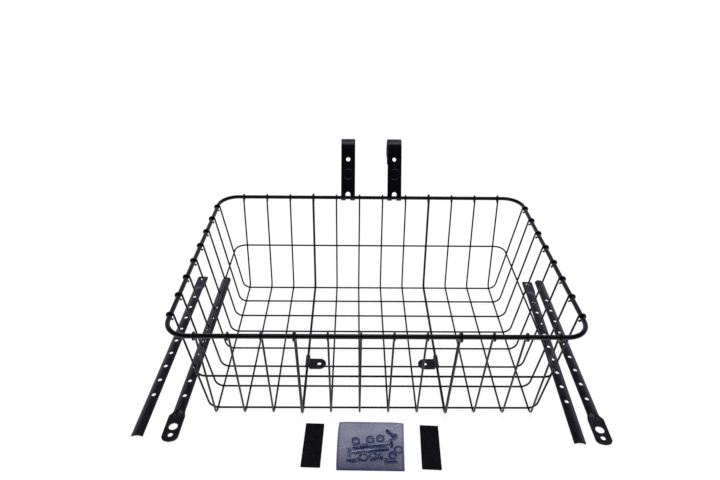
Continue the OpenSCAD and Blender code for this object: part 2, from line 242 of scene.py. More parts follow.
def cut_flat(outline, holes, pitch, details):
    """The flat sheet: its points, evenly spread but for the details, and the triangles between them."""
    border = spaced(outline, pitch)
    flat, edges = [], []
    for loop in [border] + [circle(h[:2], h[2], HOLE_SIDES) for h in holes]:
        shift = len(flat)
        edges += [(shift + i, shift + (i + 1) % len(loop)) for i in range(len(loop))]
        flat += loop
    flat += details
    near = np.array(flat)
    low = [min(p[axis] for p in border) for axis in (0, 1)]
    high = [max(p[axis] for p in border) for axis in (0, 1)]
    columns, rows = (max(2, round((high[axis] - low[axis]) / pitch)) for axis in (0, 1))
    for i in range(1, columns):
        for j in range(1, rows):
            p = (low[0] + (high[0] - low[0]) * i / columns, low[1] + (high[1] - low[1]) * j / rows)
            clear = np.min(np.hypot(near[:, 0] - p[0], near[:, 1] - p[1])) > pitch * 0.55
            if clear and on_sheet(p, border, holes):
                flat.append(p)
    points, _, triangles, *_ = geometry.delaunay_2d_cdt([Vector(p) for p in flat], edges, [], 0, 1e-9)
    kept = []
    for t in triangles:
        middle = (sum(points[i].x for i in t) / 3, sum(points[i].y for i in t) / 3)
        if on_sheet(middle, border, holes):
            kept.append(tuple(t))
    return points, kept


def pressed_sheet(outline, holes, place, thickness, pitch, details=()):
    """Sheet metal: an outline with round holes, cut in the flat and bent by place(u, v).
    Holes are (u, v, radius), details are more points of the flat. Returns the solid's vertices and faces."""
    points, triangles = cut_flat(outline, holes, pitch, details)
    step = pitch * 0.02
    top, bottom = [], []
    for p in points:
        at = place(p.x, p.y)
        along = place(p.x + step, p.y) - place(p.x - step, p.y)
        across = place(p.x, p.y + step) - place(p.x, p.y - step)
        normal = along.cross(across).normalized()
        top.append(at + normal * thickness / 2)
        bottom.append(at - normal * thickness / 2)
    count = len(points)
    faces = triangles + [(c + count, b + count, a + count) for a, b, c in triangles]
    sides = dict.fromkeys(pair for t in triangles for pair in zip(t, t[1:] + t[:1]))
    faces += [(b, a, a + count, b + count) for a, b in sides if (b, a) not in sides]
    return top + bottom, faces


def add_cut(name, node, body, sheet, material, edge):
    """A piece cut from sheet, of (vertices, faces), with softened edges. It stands for a CAD node."""
    made = new_object(name, *sheet, body, material)
    turn_out(made)
    soften(made, edge)
    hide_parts(node)


# ---- Materials ----

class Nodes:
    """A short way to write a node tree."""

    def __init__(self, name):
        self.material = bpy.data.materials.new(name)
        self.material.use_nodes = True
        self.tree = self.material.node_tree
        self.shader = self.tree.nodes["Principled BSDF"]
        self.place = self.tree.nodes.new("ShaderNodeTexCoord").outputs["Object"]

    def node(self, kind, settings=(), **inputs):
        """A node whose inputs are given by name, or by number as i0, i1 and so on."""
        made = self.tree.nodes.new("ShaderNode" + kind)
        for key, value in dict(settings).items():
            setattr(made, key, value)
        for key, value in inputs.items():
            numbered = key[0] == "i" and key[1:].isdigit()
            socket = made.inputs[int(key[1:]) if numbered else key]
            if isinstance(value, bpy.types.NodeSocket):
                self.tree.links.new(value, socket)
            else:
                socket.default_value = value
        return made

    def noise(self, scale, detail=3.0, roughness=0.5, stretch=None):
        place = self.place
        if stretch:
            mapping = self.node("Mapping", i0=place)
            mapping.inputs["Scale"].default_value = stretch
            place = mapping.outputs[0]
        return self.node("TexNoise", Vector=place, Scale=scale, Detail=detail,
                         Roughness=roughness).outputs["Fac"]

    def ramp(self, fac, stops):
        made = self.node("ValToRGB", i0=fac)
        ramp = made.color_ramp
        while len(ramp.elements) < len(stops):
            ramp.elements.new(0.5)
        for element, (position, colour) in zip(ramp.elements, stops):
            element.position = position
            element.color = (*colour, 1)
        return made.outputs["Color"]

    def range(self, value, low, high, to_low, to_high):
        return self.node("MapRange", i0=value, i1=low, i2=high, i3=to_low, i4=to_high).outputs[0]

    def mix(self, fac, a, b):
        made = self.node("Mix", settings={"data_type": "RGBA"})
        for socket, value in (("Factor_Float", fac), ("A_Color", a), ("B_Color", b)):
            slot = next(s for s in made.inputs if s.identifier == socket)
            if isinstance(value, bpy.types.NodeSocket):
                self.tree.links.new(value, slot)
            else:
                slot.default_value = (*value, 1)
        return next(s for s in made.outputs if s.identifier == "Result_Color")

    def times(self, a, b):
        return self.node("Math", settings={"operation": "MULTIPLY"}, i0=a, i1=b).outputs[0]

    def plus(self, a, b):
        return self.node("Math", settings={"operation": "ADD"}, i0=a, i1=b).outputs[0]

    def attribute(self, name):
        return self.node("Attribute", settings={"attribute_name": name}).outputs["Fac"]

    def edges(self, low, high):
        """1 on convex edges, 0 elsewhere."""
        sharp = self.tree.nodes.new("ShaderNodeNewGeometry").outputs["Pointiness"]
        return self.range(sharp, low, high, 0.0, 1.0)

    def bump(self, height, strength, distance, under=None):
        made = self.node("Bump", Height=height, Strength=strength, Distance=distance)
        if under:
            self.tree.links.new(under, made.inputs["Normal"])
        return made.outputs["Normal"]

    def link(self, name, value):
        self.tree.links.new(value, self.shader.inputs[name])

    def fix(self, **values):
        for name, value in values.items():
            self.shader.inputs[name.replace("_", " ")].default_value = value


RUBBED_COAT = (0.045, 0.043, 0.052)
RUBBER_DARK, RUBBER_LIGHT = (0.0016, 0.0017, 0.0030), (0.0036, 0.0038, 0.0062)
RUBBER_DUST = (0.0075, 0.0078, 0.0115)
ZINC_DARK, ZINC_MIDDLE, ZINC_LIGHT = (0.12, 0.24, 0.38), (0.24, 0.38, 0.52), (0.45, 0.54, 0.58)
ZINC_RUBBED = (0.72, 0.76, 0.80)
# The third film colour is painted shade, the darker tone the film takes towards its front edge between
# FRONT_FROM_Y and FRONT_TO_Y
FILM_DARK, FILM_LIGHT, FILM_FRONT_SHADE = (0.050, 0.066, 0.270), (0.085, 0.105, 0.350), (0.040, 0.050, 0.230)
FRONT_FROM_Y, FRONT_TO_Y = -206 * MM, -160 * MM


def powder_coat(name, dark, light, wear, peel, gloss):
    """Semi-gloss black powder coat: orange peel, patches of thicker coat, and edges rubbed grey."""
    n = Nodes(name)
    patches = n.ramp(n.noise(55, 4, 0.6), ((0.35, dark), (0.7, light)))
    rub = n.times(n.edges(0.52, 0.62), n.range(n.noise(240, 3), 0.4, 0.7, 0.15, wear))
    n.link("Base Color", n.mix(rub, patches, RUBBED_COAT))
    sheen = n.range(n.noise(180, 3, 0.6), 0.3, 0.75, 0.24, 0.38)
    n.link("Roughness", n.plus(sheen, n.times(rub, 0.2)))
    lumps = n.bump(n.noise(380, 2), peel, 0.4 * MM)
    n.link("Normal", n.bump(n.noise(1500, 2), peel * 0.8, 0.1 * MM, under=lumps))
    n.fix(IOR=1.5, Specular_IOR_Level=gloss, Coat_Weight=0.05, Coat_Roughness=0.2)
    return n.material


def pad_rubber():
    """Sheet rubber: a fine cloth-like grain pressed into it, with pale dusty scuffs."""
    n = Nodes("pad_rubber")
    dust = n.range(n.noise(90, 5, 0.65, stretch=(1, 0.35, 1)), 0.5, 0.8, 0.0, 0.5)
    tone = n.ramp(n.noise(420, 3), ((0.3, RUBBER_DARK), (0.75, RUBBER_LIGHT)))
    n.link("Base Color", n.mix(dust, tone, RUBBER_DUST))
    n.link("Roughness", n.range(n.noise(260, 3), 0.3, 0.7, 0.62, 0.85))
    weave = n.node("TexWave", settings={"wave_type": "BANDS", "bands_direction": "DIAGONAL"},
                   Vector=n.place, Scale=420.0, Distortion=0.6, Detail=1.0).outputs["Fac"]
    coarse = n.bump(weave, 0.18, 0.2 * MM)
    n.link("Normal", n.bump(n.noise(900, 3), 0.35, 0.2 * MM, under=coarse))
    n.fix(IOR=1.45, Specular_IOR_Level=0.25)
    return n.material


def zinc_plate():
    """Blue zinc plate: bright metal with a cloudy passivation tint and fine drawn lines."""
    n = Nodes("zinc_plate")
    cloud = n.ramp(n.noise(130, 3, 0.55), ((0.3, ZINC_DARK), (0.52, ZINC_MIDDLE), (0.75, ZINC_LIGHT)))
    n.link("Base Color", n.mix(n.edges(0.53, 0.62), cloud, ZINC_RUBBED))
    n.link("Roughness", n.range(n.noise(320, 4), 0.3, 0.7, 0.14, 0.30))
    n.link("Normal", n.bump(n.noise(1400, 2, stretch=(0.3, 1, 1)), 0.12, 0.1 * MM))
    n.fix(Metallic=1.0)
    return n.material


def bag_film():
    """Thin hazy film with a lavender tint, denser at the seam round its border, with cloudy patches, fine
    crinkles
    and soft gloss. Painted shade: the film is drawn darker and more opaque towards the front, and its lower
    sheet more opaque than the upper one."""
    n = Nodes("bag_film")
    haze = n.ramp(n.noise(60, 3, 0.5), ((0.3, FILM_DARK), (0.7, FILM_LIGHT)))
    y = n.node("SeparateXYZ", i0=n.place).outputs["Y"]
    # Painted shade: towards the front edge the film is drawn darker and more opaque
    front = n.range(y, FRONT_FROM_Y, FRONT_TO_Y, 1.0, 0.0)
    seam_and_front_shade = n.plus(n.times(n.attribute("seam"), 0.10), n.times(front, 0.14))
    # Painted shade: the lower sheet is drawn more opaque than the upper one, though both films are alike;
    # only the seam is really denser
    density_and_shade = n.plus(seam_and_front_shade, n.times(n.attribute("under"), 0.28))
    n.link("Base Color", n.mix(front, haze, FILM_FRONT_SHADE))
    n.link("Alpha", n.plus(n.range(n.noise(40, 2), 0.3, 0.7, 0.36, 0.42), density_and_shade))
    n.link("Roughness", n.range(n.noise(160, 3), 0.3, 0.7, 0.14, 0.26))
    crinkle = n.bump(n.noise(90, 3, 0.6, stretch=(0.6, 1, 1)), 0.3, 0.8 * MM)
    n.link("Normal", n.bump(n.noise(700, 2), 0.08, 0.2 * MM, under=crinkle))
    n.fix(IOR=1.5, Specular_IOR_Level=0.7)
    return n.material


WIRE_COAT = powder_coat("wire_coat", (0.0010, 0.0009, 0.0020), (0.0024, 0.0022, 0.0040), 0.3, 0.12, 0.22)
STRAP_COAT = powder_coat("strap_coat", (0.0012, 0.0011, 0.0024), (0.0030, 0.0028, 0.0050), 0.4, 0.16, 0.45)
LEG_COAT = powder_coat("leg_coat", (0.0010, 0.0010, 0.0030), (0.0026, 0.0026, 0.0064), 0.4, 0.2, 0.38)
RUBBER = pad_rubber()
ZINC = zinc_plate()
FILM = bag_film()


# ---- Wires ----

ARC_STEP = math.radians(7)


def turtle(start, moves):
    """Points along a flat path that starts towards +X: ("line", length) and ("arc", radius, turn)."""
    x, z = start
    heading = 0.0
    points = [(x, z)]
    for kind, *size in moves:
        if kind == "line":
            x, z = x + size[0] * math.cos(heading), z + size[0] * math.sin(heading)
            points.append((x, z))
        else:
            radius, turn = size
            side = math.copysign(1, turn)
            centre = (x - side * radius * math.sin(heading), z + side * radius * math.cos(heading))
            start_angle = heading - side * math.pi / 2
            steps = max(4, round(abs(turn) / ARC_STEP))
            stretch = arc(centre, radius, start_angle, start_angle + turn, steps)[1:]
            points += stretch
            x, z = stretch[-1]
            heading += turn
    return points


def wall_line(r, corner, rim_half):
    """The slope of a wire's wall, which runs from the corner past the rim's side, the distance from the
    corner to the rim's centre, and the radius of the wrap. The corner is (from the middle, height)."""
    wrap = RIM_R + r - WELD
    to_rim = (rim_half - corner[0], RIM_Z - corner[1])
    reach = math.hypot(*to_rim)
    return math.atan2(to_rim[1], to_rim[0]) + math.asin(wrap / reach), reach, wrap


def basket_wire(r, corner, bend, rim_half, side_tails):
    """A flat path made of two mirrored halves: floor, bend, wall, wrap over the rim, and the cut end."""
    slope, reach, wrap = wall_line(r, corner, rim_half)
    setback = bend * math.tan(slope / 2)
    half_wall = (math.sqrt(reach * reach - wrap * wrap) - setback) / 2
    tail = (wrap * (1 - math.cos(WRAP_TURN)) - 2 * r) / -math.sin(WRAP_TURN) - r * 0.3
    halves = []
    for extra in side_tails:
        halves.append(turtle((0, corner[1]), (
            ("line", corner[0] - setback), ("arc", bend, slope), ("line", half_wall), ("line", half_wall),
            ("arc", wrap, -WRAP_TURN), ("line", tail + extra))))
    left, right = halves
    return [(-x, z) for x, z in reversed(left)][:-1] + right


def add_coated(node, wire):
    """A coated wire, of (vertices, faces), that stands for a CAD node."""
    made = new_object(node + "_coated", *wire, BASKET, WIRE_COAT)
    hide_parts(node)


def tail_scatter():
    """Cut ends differ a little in length from wire to wire."""
    return [random.uniform(-0.5, 0.15) * MM for _ in range(2)]


def cross_size(i):
    """A cross wire's radius, and the corner between its floor and its wall."""
    heavy = i in HEAVY_WIRES
    r = HEAVY_R if heavy else MESH_R
    return r, (FLOOR_DEPTH / 2 + r - MESH_R, HEAVY_Z if heavy else CROSS_Z)


def add_cross_wires():
    for i, x in enumerate(CROSS_X):
        r, corner = cross_size(i)
        flat = basket_wire(r, corner, CROSS_BEND, RIM_HALF_Y, tail_scatter())
        add_coated(f"cross_wire_{i + 1:02d}", tube([(x, CENTRE.y + a, z) for a, z in flat], r))


def add_long_wires():
    for i, y in enumerate(LONG_Y):
        flat = basket_wire(MESH_R, LONG_CORNER, LONG_BEND, RIM_HALF_X, tail_scatter())
        add_coated(f"long_wire_{i + 1}", tube([(CENTRE.x + a, y, z) for a, z in flat], MESH_R))


def rounded_loop(half_x, half_y, corner, z):
    """A closed rounded rectangle round the basket's middle."""
    points = []
    for quarter, (sx, sy) in enumerate(((1, 1), (-1, 1), (-1, -1), (1, -1))):
        middle = (CENTRE.x + sx * (half_x - corner), CENTRE.y + sy * (half_y - corner))
        start = quarter * math.pi / 2
        points += [(x, y, z) for x, y in arc(middle, corner, start, start + math.pi / 2, 16)]
    return points


def add_rings():
    for node, half_x, half_y, corner, z, r in (
            ("rim", RIM_HALF_X, RIM_HALF_Y, RIM_CORNER, RIM_Z, RIM_R),
            ("middle_ring", RING_HALF_X, RING_HALF_Y, RING_CORNER, RING_Z, RING_R)):
        add_coated(node, tube(rounded_loop(half_x, half_y, corner, z), r, sides=28, closed=True))


BEAD_THIN, BEAD_RING, BEAD_FLOOR = 0.75 * MM, 1.4 * MM, 1.45 * MM


def bead(at, size):
    """A small squashed ball of weld metal under the coat."""
    ball = bmesh.new()
    bmesh.ops.create_icosphere(ball, subdivisions=2, radius=1)
    scale = [s * random.uniform(0.92, 1.08) for s in size]
    verts = [Vector([at[n] + v.co[n] * scale[n] for n in range(3)]) for v in ball.verts]
    faces = [tuple(v.index for v in f.verts) for f in ball.faces]
    ball.free()
    return verts, faces


def ring_weld(r, corner, rim_half, ring_half):
    """How far from the middle a wall wire's inner side meets the outer side of the middle ring."""
    slope = wall_line(r, corner, rim_half)[0]
    wall = corner[0] + (RING_Z - corner[1]) / math.tan(slope)
    return (wall - r + ring_half + RING_R) / 2


def add_weld_beads():
    contact_z = 2 * HEAVY_R - WELD / 2
    floor_size = (BEAD_FLOOR, BEAD_FLOOR, BEAD_THIN)
    floor_beads = [bead((x, y, contact_z), floor_size) for x in CROSS_X for y in LONG_Y]
    ring_beads = []
    for side in (-1, 1):
        for i, x in enumerate(CROSS_X):
            y = CENTRE.y + side * ring_weld(*cross_size(i), RIM_HALF_Y, RING_HALF_Y)
            ring_beads.append(bead((x, y, RING_Z), (BEAD_RING, BEAD_THIN, BEAD_RING)))
        x = CENTRE.x + side * ring_weld(MESH_R, LONG_CORNER, RIM_HALF_X, RING_HALF_X)
        ring_beads += [bead((x, y, RING_Z), (BEAD_THIN, BEAD_RING, BEAD_RING)) for y in LONG_Y]
    for name, beads in (("floor_weld_beads", floor_beads), ("ring_weld_beads", ring_beads)):
        made = new_object(name, *joined(beads), BASKET, WIRE_COAT)


# ---- Pressed parts ----

TAB_T = 1.5 * MM
TAB_LIFT = 0.2 * MM
TAB_Y = -44 * MM
TAB_W = 18.5 * MM
TAB_REACH = 15.8 * MM
TAB_HOLE_R = 2.75 * MM
KNUCKLE_BACK, KNUCKLE_FRONT = 14 * MM, 7 * MM
KNUCKLE_FLARE, FLARE_LENGTH = 0.35 * MM, 4 * MM


def bent(segments):
    """A flat path of ("line", start, end) and ("arc", centre, radius, start angle, end angle).
    Returns the stretches' lengths, and a function from distance along the path to the point there."""
    lengths = [math.dist(*size) if kind == "line" else abs(size[3] - size[2]) * size[1]
               for kind, *size in segments]

    def at(w):
        i = 0
        while i < len(segments) - 1 and w > lengths[i]:
            w -= lengths[i]
            i += 1
        kind, *size = segments[i]
        t = w / lengths[i]
        if kind == "line":
            a, b = size
            return a[0] + (b[0] - a[0]) * t, a[1] + (b[1] - a[1]) * t
        centre, radius, start, end = size
        turn = start + (end - start) * t
        return centre[0] + radius * math.cos(turn), centre[1] + radius * math.sin(turn)

    return lengths, at


def add_leg_tab(node, wire_x, side):
    """The eye for a leg bolt: a knuckle pressed over the heavy wire and a flat round-ended plate."""
    over = HEAVY_R + TAB_T / 2
    plate_z = TAB_LIFT + TAB_T / 2
    drop = HEAVY_Z - plate_z
    lengths, at = bent((
        ("line", (-over, plate_z), (-over, HEAVY_Z)),
        ("arc", (0, HEAVY_Z), over, math.pi, 0),
        ("arc", (over + drop, HEAVY_Z), drop, math.pi, 1.5 * math.pi),
        ("line", (over + drop, plate_z), (TAB_REACH + TAB_W / 2, plate_z))))
    neck = sum(lengths[:3])
    eye = neck + TAB_REACH - over - drop
    half = TAB_W / 2
    # The corners between knuckle and plate are cut off
    outline = [(0, -KNUCKLE_FRONT), (neck - 1.0 * MM, -KNUCKLE_FRONT),
               (neck, 0.4 * MM - half), (neck + 0.8 * MM, -half)]
    outline += arc((eye, 0), half, -math.pi / 2, math.pi / 2, 24)
    outline += [(neck + 0.8 * MM, half), (neck + 0.2 * MM, half + 0.8 * MM),
                (neck - 0.6 * MM, KNUCKLE_BACK - 2.2 * MM), (neck - 2.2 * MM, KNUCKLE_BACK),
                (0, KNUCKLE_BACK)]

    def place(w, v):
        x, z = at(w)
        if w < neck:
            # The knuckle flares a little at its rear end
            rear = ease((v - KNUCKLE_BACK + FLARE_LENGTH) / FLARE_LENGTH)
            z += KNUCKLE_FLARE * rear * max(0, 1 - abs(x) / over)
        return Vector((wire_x - side * x, CENTRE.y + TAB_Y + v, z))

    sheet = pressed_sheet(outline, [(eye, 0, TAB_HOLE_R)], place, TAB_T, 1.5 * MM)
    add_cut(node + "_pressed", node, BASKET, sheet, STRAP_COAT, 0.22 * MM)


BAR_R = 12.7 * MM
CLAMP_W = 21 * MM
CLAMP_T = 1.6 * MM
CLAMP_REACH = 75.5 * MM
CLAMP_BOLT_AT = 57.5 * MM
CLAMP_HOLE_R = 3.25 * MM
CLAMP_GAP = 2.5 * MM
CLAMP_LEAN = math.radians(30)
CLAMP_X = MESH_PITCH
CURL_SLACK, CURL_END = 0.3 * MM, math.radians(70)
TAIL_BEND = 2.2 * MM
TAIL_BELOW_HOLE = 7 * MM
NOTCH_W, NOTCH_TOP = 7 * MM, 8.4 * MM
MARK_AT, MARK_R = 35 * MM, 7.6 * MM
MARK_DEPTH, MARK_WIDTH, MARK_STEP = 0.35 * MM, 0.5 * MM, 0.35 * MM
LOOP_TWIST = -0.9 * MM


def clamp_section():
    """The strap from the side: curl, front ply, handlebar loop, tail bend and rear ply, as bent() gives it,
    and the tail's height. The first coordinate is across the strap, the second up along it."""
    eye_r = RIM_R + CURL_SLACK
    curl_r = eye_r + CLAMP_T / 2
    loop_r = BAR_R + CLAMP_T / 2
    tail_r = TAIL_BEND + CLAMP_T / 2
    bar = (BAR_R - eye_r, CLAMP_REACH)
    tail_n = CLAMP_GAP - eye_r + CLAMP_T + TAIL_BEND
    drop = math.sqrt((loop_r + tail_r) ** 2 - (bar[0] - tail_n) ** 2)
    tail = (tail_n, CLAMP_REACH - drop)
    loop_end = math.atan2(-drop, tail_n - bar[0])
    rear_n = tail_n - tail_r
    lengths, at = bent((
        ("arc", (0, 0), curl_r, CURL_END, -math.pi),
        ("line", (-curl_r, 0), (-curl_r, CLAMP_REACH)),
        ("arc", bar, loop_r, math.pi, loop_end),
        ("arc", tail, tail_r, loop_end + math.pi, math.pi),
        ("line", (rear_n, tail[1]), (rear_n, CLAMP_BOLT_AT - TAIL_BELOW_HOLE))))
    return lengths, at, tail[1]


def add_clamp(node, side, twist):
    """A strap clamp, cut as one flat strip and bent. Its loop is twisted sideways by a little."""
    lengths, at, tail_s = clamp_section()
    total = sum(lengths)
    ply = lengths[0]
    loop = ply + lengths[1]
    rear = sum(lengths[:4])
    rear_hole = rear + tail_s - CLAMP_BOLT_AT
    half, notch = CLAMP_W / 2, NOTCH_W / 2
    outline = [(0, -half), (total, -half), (total, half), (0, half), (0, notch)]
    outline += arc((ply + NOTCH_TOP - notch, 0), notch, math.pi / 2, -math.pi / 2, 16)
    outline += [(0, -notch)]
    holes = [(ply + CLAMP_BOLT_AT, 0, CLAMP_HOLE_R), (rear_hole, 0, CLAMP_HOLE_R)]
    cos_l, sin_l = math.cos(CLAMP_LEAN), math.sin(CLAMP_LEAN)
    x_mid = CENTRE.x + side * CLAMP_X

    def place(w, v):
        n, s = at(w)
        if ply < w < loop:
            # A plain round mark is pressed into the front ply
            r = math.hypot(w - ply - MARK_AT, v)
            n += MARK_DEPTH * math.exp(-((r - MARK_R) / MARK_WIDTH) ** 2)
        shift = twist * ease((w - loop) / (rear - loop))
        y = CENTRE.y + RIM_HALF_Y + n * cos_l + s * sin_l
        return Vector((x_mid + v + shift, y, RIM_Z - n * sin_l + s * cos_l))

    mark = [p for step in range(-3, 4) for p in circle((ply + MARK_AT, 0), MARK_R + step * MARK_STEP, 72)]
    sheet = pressed_sheet(outline, holes, place, CLAMP_T, 1.25 * MM, mark)
    add_cut(node + "_strap", node, node, sheet, STRAP_COAT, 0.25 * MM)


LEG_W = 14.4 * MM
LEG_RISE = 3.4 * MM
LEG_T = 1.5 * MM
UPPER_LEG_L, LOWER_LEG_L = 318 * MM, 321 * MM
LEG_HOLES, LEG_HOLE_PITCH, LEG_HOLE_R = 9, 25 * MM, 2.6 * MM
FLAT_W, FLAT_L, FLAT_HOLE_AT, FLAT_HOLE_R = 16.4 * MM, 29 * MM, 6.5 * MM, 2.75 * MM
FLAT_CORNER, LEG_CORNER, PADDLE_CORNER = 3 * MM, 5.5 * MM, 7 * MM
RAMP_L, WAIST_L = 6 * MM, 9 * MM
UPPER_FIRST_HOLE, LOWER_FIRST_HOLE = 56 * MM, 53 * MM
PADDLE_W, PADDLE_L, PADDLE_SHIFT = 19.6 * MM, 42 * MM, 1 * MM
PADDLE_TIP = 0.8 * MM
AXLE_AT, AXLE_R = LOWER_LEG_L - 21.5 * MM, 5.25 * MM
EYELET_AT, EYELET_R = LOWER_LEG_L - 9.5 * MM, 3 * MM
DENTS_BEFORE_AXLE = 17 * MM

# Where the loose parts lie, from the middle of the basket: x, y of the rear end of a leg or the middle
# of the others, and turn in degrees
PLACES = {
    "upper_leg_left": (-273.8, 155.2, -0.8),
    "lower_leg_left": (-234, 150.7, -0.9),
    "upper_leg_right": (259.5, 145, -3.6),
    "lower_leg_right": (279.4, 147, -2),
    "bar_pad_left": (-71.8, -174.2, -1.9),
    "bar_pad_right": (64, -177, -2.9),
    "parts_bag": (-3.9, -174.5, -0.9),
}


def placed(node):
    """The matrix that lays a loose part in its place on the table."""
    x, y, turn = PLACES[node]
    spot = CENTRE + Vector((x * MM, y * MM, 0))
    return Matrix.Translation(spot) @ Matrix.Rotation(math.radians(turn), 4, "Z")


def arch_section():
    """Middle radius and half angle of the rolled strip, so that its edges stand on the table."""
    low, high = LEG_W / 2, LEG_W * 4
    for _ in range(60):
        radius = (low + high) / 2
        half_angle = math.acos((radius + LEG_T / 2 - LEG_RISE) / (radius - LEG_T / 2))
        if (radius + LEG_T / 2) * math.sin(half_angle) < LEG_W / 2:
            low = radius
        else:
            high = radius
    return radius, half_angle


ARCH_R, ARCH_HALF = arch_section()


def leg_surface(node, arched, dents=()):
    """Bends a leg's flat outline: arched(d) is 0 where the strip is pressed flat and 1 where it is rolled,
    and each dent is (u, distance from the rear end, size, depth)."""
    matrix = placed(node)

    def place(u, v):
        share = arched(-v)
        theta = u / (LEG_W / 2) * ARCH_HALF
        rolled = (ARCH_R * math.sin(theta), LEG_RISE - LEG_T / 2 - ARCH_R * (1 - math.cos(theta)))
        x = u + (rolled[0] - u) * share
        z = LEG_T / 2 + (rolled[1] - LEG_T / 2) * share
        for du, dv, size, depth in dents:
            z -= depth * math.exp(-((u - du) ** 2 + (v + dv) ** 2) / size ** 2)
        return matrix @ Vector((x, v, z))

    return place


def adjusting_holes(first):
    return [(0, -first - i * LEG_HOLE_PITCH, LEG_HOLE_R) for i in range(LEG_HOLES)]


def corner_arc(x, y, r, start, steps=8):
    """A quarter of a round corner, centred on (x, y), turning left from start degrees."""
    return arc((x, y), r, math.radians(start), math.radians(start + 90), steps)


def rounded_end(half, r):
    """The rear end of a leg, from its right corner to its left one."""
    return corner_arc(half - r, -r, r, 0) + corner_arc(r - half, -r, r, 90)


def add_leg(node, outline, holes, place, details=()):
    verts, faces = pressed_sheet(outline, holes, place, LEG_T, 1.9 * MM, details)
    # The dimples are struck from above on a flat anvil
    verts = [Vector((v.x, v.y, max(v.z, 0))) for v in verts]
    add_cut(node + "_pressed", node, node, (verts, faces), LEG_COAT, 0.22 * MM)


def add_upper_leg(node):
    half, flat = LEG_W / 2, FLAT_W / 2
    waist_at = FLAT_L - 3 * MM
    waist = [(flat - (flat - half) * ease(i / 8), -(waist_at + WAIST_L * i / 8)) for i in range(9)]
    outline = rounded_end(flat, FLAT_CORNER)
    outline += [(-x, y) for x, y in waist]
    outline += [(-half, -UPPER_LEG_L), (half, -UPPER_LEG_L)]
    outline += list(reversed(waist))
    ramp_at = FLAT_L - 1.5 * MM

    def arched(d):
        return ease((d - ramp_at) / (RAMP_L + 2 * MM))

    holes = [(0, -FLAT_HOLE_AT, FLAT_HOLE_R)] + adjusting_holes(UPPER_FIRST_HOLE)
    add_leg(node, outline, holes, leg_surface(node, arched))


def add_lower_leg(node, outer):
    """outer is the side, -1 or 1, on which the paddle stands out further."""
    half, wide = LEG_W / 2, PADDLE_W / 2
    paddle_at = LOWER_LEG_L - PADDLE_L
    shift = outer * PADDLE_SHIFT
    corner_y = PADDLE_CORNER - LOWER_LEG_L + PADDLE_TIP

    def flare(side):
        reach = side * wide + shift
        return [(side * half + (reach - side * half) * ease(i / 10), -(paddle_at - 3 * MM + WAIST_L * i / 10))
                for i in range(11)]

    outline = rounded_end(half, LEG_CORNER) + flare(-1)
    outline += arc((shift - wide + PADDLE_CORNER, corner_y), PADDLE_CORNER, math.pi, 1.42 * math.pi, 8)
    outline += [(shift, -LOWER_LEG_L)]
    outline += arc((shift + wide - PADDLE_CORNER, corner_y), PADDLE_CORNER, 1.58 * math.pi, 2 * math.pi, 8)
    outline += list(reversed(flare(1)))
    ramp_at = paddle_at - RAMP_L / 2

    def arched(d):
        return 1 - ease((d - ramp_at) / (RAMP_L + 1 * MM))

    # A dimple on each side of the strip where the ramp ends, the outer one struck twice
    dent_at = AXLE_AT - DENTS_BEFORE_AXLE
    dents = [(shift + outer * 2.9 * MM, dent_at + 0.4 * MM, 0.95 * MM, 0.7 * MM),
             (shift + outer * 2.5 * MM, dent_at - 1.2 * MM, 0.7 * MM, 0.4 * MM),
             (shift - outer * 2.9 * MM, dent_at, 0.85 * MM, 0.6 * MM)]
    details = [p for du, dv, size, _ in dents[::2] for ring in (0.35, 0.8, 1.3, 1.9)
               for p in circle((du, -dv), ring * size, 14)]
    holes = adjusting_holes(LOWER_FIRST_HOLE) + [(shift, -AXLE_AT, AXLE_R), (shift, -EYELET_AT, EYELET_R)]
    add_leg(node, outline, holes, leg_surface(node, arched, dents), details)


# ---- Bar pads ----

PAD_L, PAD_W, PAD_T = 59.5 * MM, 22 * MM, 2 * MM
PAD_CORNER = 0.8 * MM
PAD_BOW_ROOM = 0.35 * MM


def add_bar_pad(node):
    matrix = placed(node)
    outline = []
    for k, (sx, sy) in enumerate(((1, 1), (-1, 1), (-1, -1), (1, -1))):
        x, y = sx * (PAD_W / 2 - PAD_CORNER), sy * (PAD_L / 2 - PAD_CORNER)
        outline += corner_arc(x, y, PAD_CORNER, 90 * k, 4)
    bow = random.uniform(0.15, 0.3) * MM

    def place(u, v):
        # Cut from a roll, so it keeps a trace of the curl
        return matrix @ Vector((u, v, PAD_T / 2 + bow * (2 * v / PAD_L) ** 2))

    sheet = pressed_sheet(outline, [], place, PAD_T - PAD_BOW_ROOM, 2.5 * MM)
    add_cut(node + "_rubber", node, node, sheet, RUBBER, 0.3 * MM)


# ---- Bag and fasteners ----

BAG = "parts_bag"
BAG_W, BAG_L = 78 * MM, 66 * MM
FASTENER_Z = 1.3 * MM
# Where the fasteners lie in the bag, in millimetres from its middle, and a bolt's turn in degrees
LONG_BOLTS_AT = ((-27.3, -15, 7.5), (24.4, -1.6, 187.5))
SHORT_BOLTS_AT = ((28.5, 6.5, 135), (12, -18.2, 197), (-13.2, -24.8, 177), (13.8, -24.8, 1))
NUTS_AT = ((-1.5, 4.2), (10.3, 5.9), (-18.2, 1.8), (23.8, -16.8))
WASHERS_AT = ((-9.2, -17.6), (2, -16.6), (30.8, -6.8), (-8.6, -5.6))

